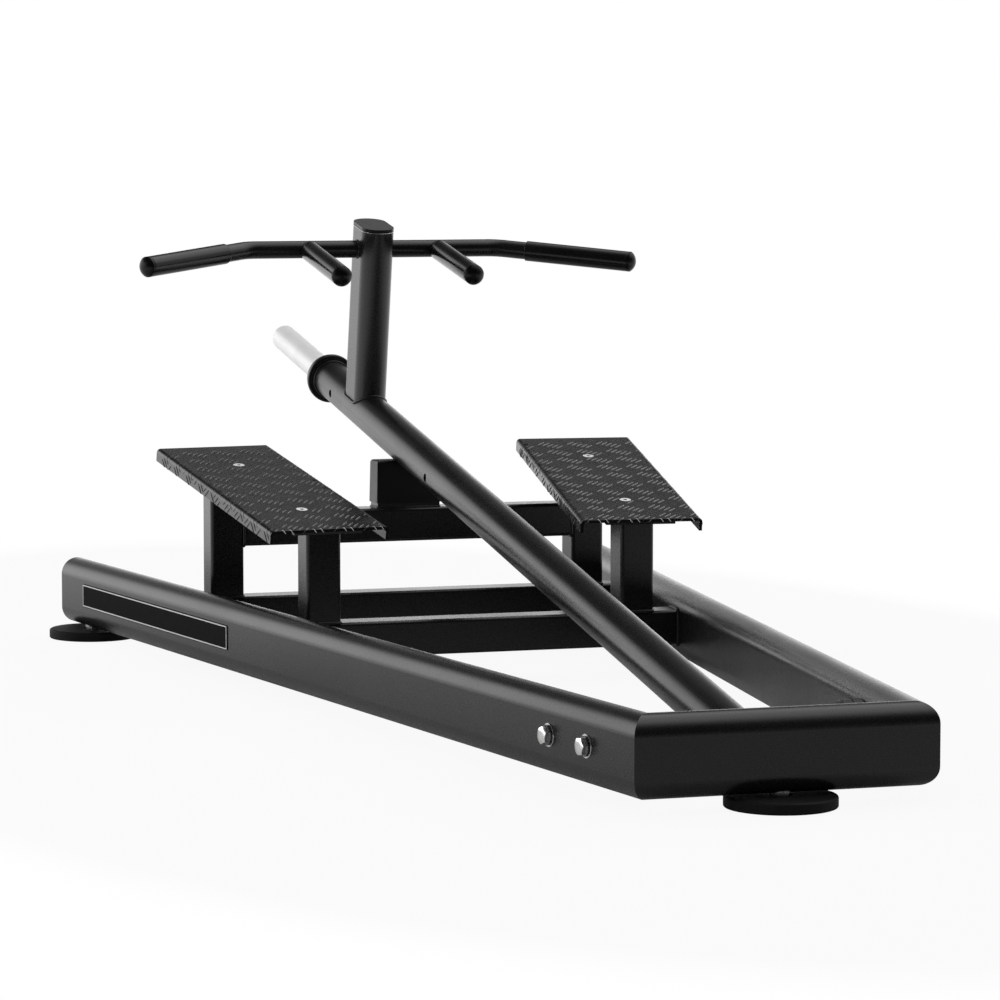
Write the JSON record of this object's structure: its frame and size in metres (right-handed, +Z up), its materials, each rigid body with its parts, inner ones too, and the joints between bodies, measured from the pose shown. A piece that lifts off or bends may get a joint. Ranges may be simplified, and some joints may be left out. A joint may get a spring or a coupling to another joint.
{
  "type": "t-bar row machine",
  "caption": "Hinged loading lever with a handlebar, side grips and a plate sleeve, over a V-shaped floor frame with two tread plates to stand on.",
  "frame": {"origin": "on the floor, under the middle of the machine's length and width at rest", "axes": "+X to the right for a user who looks from the hinge end to the sleeve end, +Y along the machine from the hinge end to the sleeve end, +Z up"},
  "size_m": [1.1508, 2.7288, 0.7713],
  "materials": {
    "black_coat": "satin black powder coat",
    "coated_sheet": "satin black powder coat on five-bar checker sheet",
    "rubber": "matte black rubber",
    "cap_plastic": "smooth black plastic",
    "sleeve_steel": "satin chrome",
    "zinc_steel": "bright zinc",
    "bearing_steel": "ground steel",
    "plate": "black printed sheet with a pale border",
    "cast_housing": "painted casting"
  },
  "bodies": {
    "floor_frame": {"left_rail": "black_coat", "right_rail": "black_coat", "front_beam": "black_coat", "left_rail_cap": "cap_plastic", "right_rail_cap": "cap_plastic", "name_plate": "plate", "front_cross_member": "black_coat", "rear_cross_member": "black_coat", "upper_beam": "black_coat", "front_left_post": "black_coat", "front_right_post": "black_coat", "rear_left_post": "black_coat", "rear_right_post": "black_coat", "front_left_head_plate": "black_coat", "front_right_head_plate": "black_coat", "rear_left_head_plate": "black_coat", "rear_right_head_plate": "black_coat", "left_tread_plate": "coated_sheet", "right_tread_plate": "coated_sheet", "tread_screws": "zinc_steel", "stop_base": "black_coat", "stop_block": "rubber", "left_bearing_housing": "cast_housing", "right_bearing_housing": "cast_housing", "left_bearing_outer_ring": "bearing_steel", "right_bearing_outer_ring": "bearing_steel", "bearing_balls": "bearing_steel", "housing_bolts": "zinc_steel", "housing_washers": "zinc_steel", "housing_nuts": "zinc_steel", "foot_bushes": "zinc_steel", "foot_lock_nuts": "zinc_steel"},
    "lever": {"left_bearing_inner_ring": "bearing_steel", "right_bearing_inner_ring": "bearing_steel", "pivot_shaft": "bearing_steel", "pivot_hub": "black_coat", "lever_tube": "black_coat", "lever_collar": "black_coat", "weight_sleeve": "sleeve_steel", "handle_post": "black_coat", "handle_post_cap": "cap_plastic", "handlebar": "black_coat", "left_side_bar": "black_coat", "right_side_bar": "black_coat", "left_outer_grip": "rubber", "right_outer_grip": "rubber", "left_side_grip": "rubber", "right_side_grip": "rubber", "left_outer_grip_cap": "cap_plastic", "right_outer_grip_cap": "cap_plastic", "left_side_grip_cap": "cap_plastic", "right_side_grip_cap": "cap_plastic"},
    "front_foot": {"front_foot_pad": "rubber", "front_foot_stud": "zinc_steel"},
    "rear_left_foot": {"rear_left_foot_pad": "rubber", "rear_left_foot_stud": "zinc_steel"},
    "rear_right_foot": {"rear_right_foot_pad": "rubber", "rear_right_foot_stud": "zinc_steel"}
  },
  "joints": [
    {"name": "lever_pivot", "type": "hinge", "parent": "floor_frame", "child": "lever", "pos_m": [0, -1.10093, 0.08], "axis": [1, 0, 0], "range_deg": [0, 45]},
    {"name": "front_foot_slide", "type": "slide", "parent": "floor_frame", "child": "front_foot", "axis": [0, 0, -1], "range_m": [0, 0.02]},
    {"name": "rear_left_foot_slide", "type": "slide", "parent": "floor_frame", "child": "rear_left_foot", "axis": [0, 0, -1], "range_m": [0, 0.02]},
    {"name": "rear_right_foot_slide", "type": "slide", "parent": "floor_frame", "child": "rear_right_foot", "axis": [0, 0, -1], "range_m": [0, 0.02]}
  ]
}
